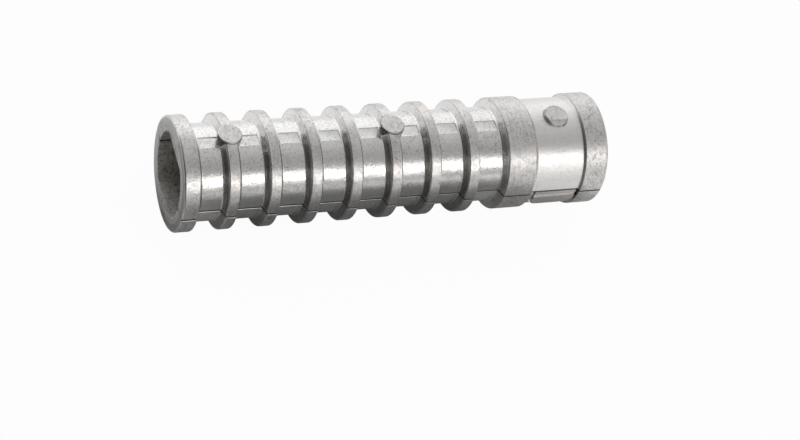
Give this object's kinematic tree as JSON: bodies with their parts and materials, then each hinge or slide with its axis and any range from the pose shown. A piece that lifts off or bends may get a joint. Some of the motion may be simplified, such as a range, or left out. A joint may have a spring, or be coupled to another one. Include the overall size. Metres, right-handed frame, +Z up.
{
  "type": "lag shield anchor",
  "caption": "Ribbed split-shell masonry anchor: half shells with a tapered, part-threaded bore that a lag screw wedges apart.",
  "frame": {"origin": "middle of the mouth's face, on the bore's axis", "axes": "+X along the bore and out of the mouth, +Z up through the upper half's crest, the seam in the XY plane; the anchor lies on the lower half's two pads"},
  "size_m": [0.075, 0.0192, 0.0192],
  "materials": {
    "cast_zinc_upper": "as cast, faintly speckled",
    "cast_zinc_lower": "as cast, faintly speckled"
  },
  "bodies": {
    "lower_shell": {"lower_half": "cast_zinc_lower"},
    "upper_shell": {"upper_half": "cast_zinc_upper"}
  },
  "joints": [
    {"name": "shell_opening", "type": "hinge", "parent": "lower_shell", "child": "upper_shell", "pos_m": [0, 0, 0], "axis": [0, 1, 0], "range_deg": [0, 4]}
  ]
}
